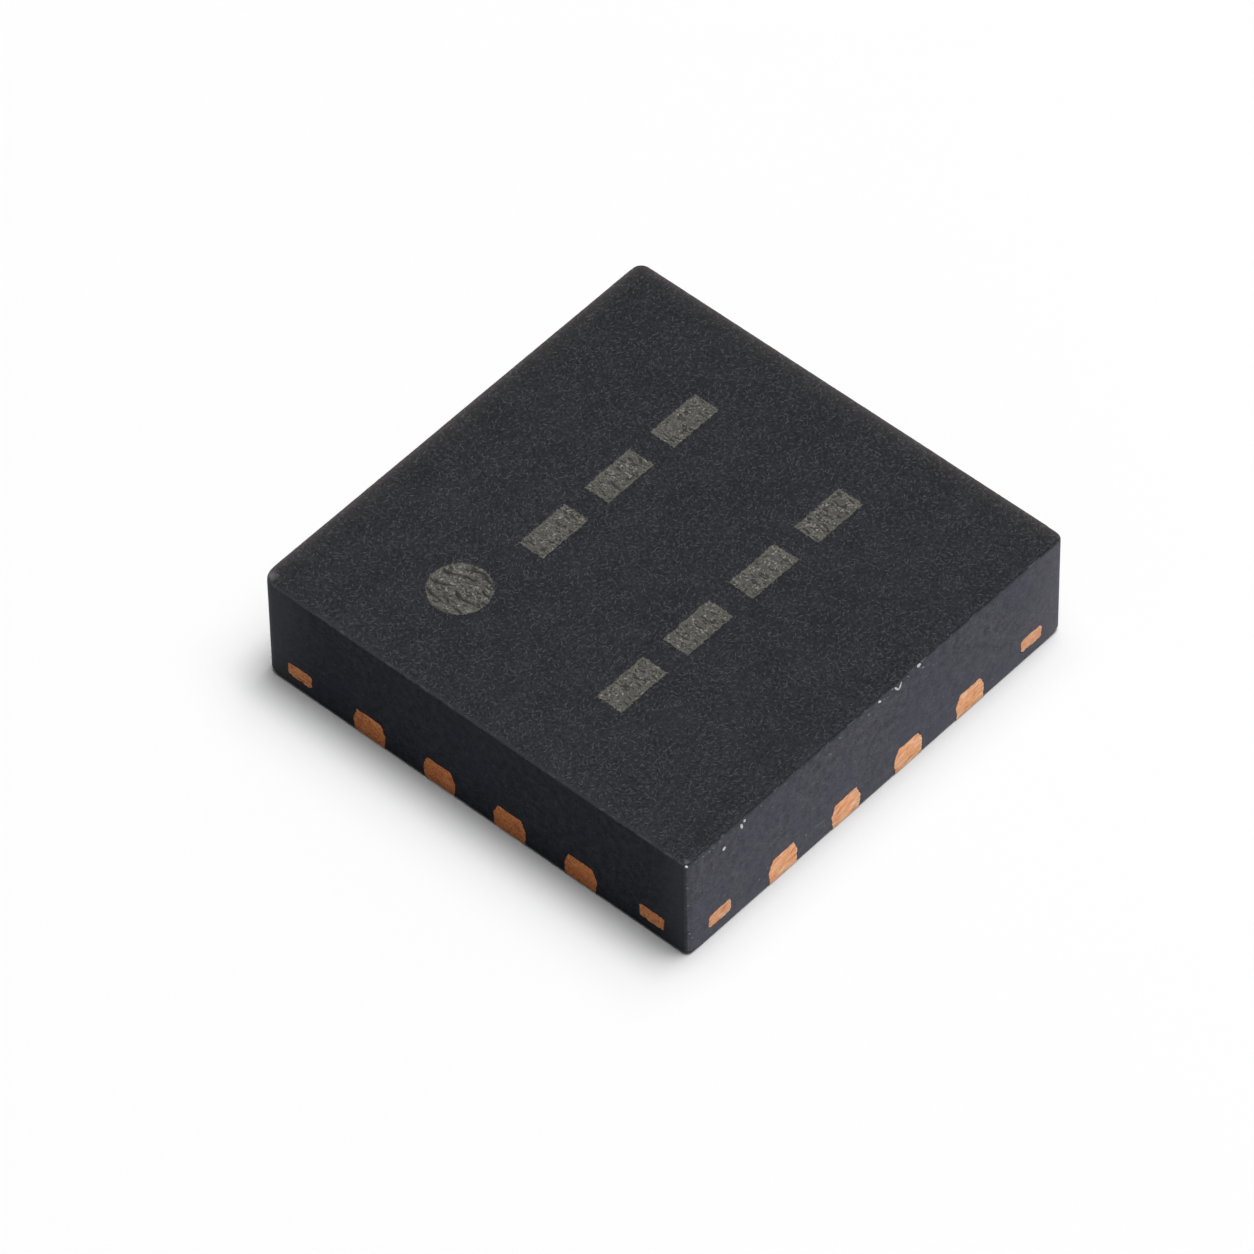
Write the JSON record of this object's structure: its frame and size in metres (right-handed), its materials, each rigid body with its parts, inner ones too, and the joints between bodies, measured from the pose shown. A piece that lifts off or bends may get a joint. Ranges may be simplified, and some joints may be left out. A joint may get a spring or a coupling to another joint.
{
  "type": "integrated circuit",
  "caption": "Square flat no-lead integrated circuit: black moulded body, copper lead ends sawn flush with its sides, die pad, chip and bond wires inside.",
  "frame": {"origin": "centre of the seating plane, under the middle of the body", "axes": "+Z out of the top face; -X side carries pins 1 to 4, from +Y to -Y, and the numbers run counter-clockwise seen from above"},
  "size_m": [0.003, 0.003, 0.0008],
  "materials": {
    "mould_epoxy": "fine-grained black moulding, sawn smooth on the sides",
    "frame_copper": "sawn bare copper at the ends, matt tin on the soldered faces",
    "die_adhesive": "silver-filled adhesive",
    "silicon": "polished silicon",
    "wire_gold": "bright drawn wire"
  },
  "bodies": {
    "root": {"mould_body": "mould_epoxy", "die_pad": "frame_copper", "die_attach": "die_adhesive", "die": "silicon", "pin_01": "frame_copper", "pin_02": "frame_copper", "pin_03": "frame_copper", "pin_04": "frame_copper", "pin_05": "frame_copper", "pin_06": "frame_copper", "pin_07": "frame_copper", "pin_08": "frame_copper", "pin_09": "frame_copper", "pin_10": "frame_copper", "pin_11": "frame_copper", "pin_12": "frame_copper", "pin_13": "frame_copper", "pin_14": "frame_copper", "pin_15": "frame_copper", "pin_16": "frame_copper", "bond_wire_01": "wire_gold", "bond_wire_02": "wire_gold", "bond_wire_03": "wire_gold", "bond_wire_04": "wire_gold", "bond_wire_05": "wire_gold", "bond_wire_06": "wire_gold", "bond_wire_07": "wire_gold", "bond_wire_08": "wire_gold", "bond_wire_09": "wire_gold", "bond_wire_10": "wire_gold", "bond_wire_11": "wire_gold", "bond_wire_12": "wire_gold", "bond_wire_13": "wire_gold", "bond_wire_14": "wire_gold", "bond_wire_15": "wire_gold", "bond_wire_16": "wire_gold"}
  },
  "joints": []
}
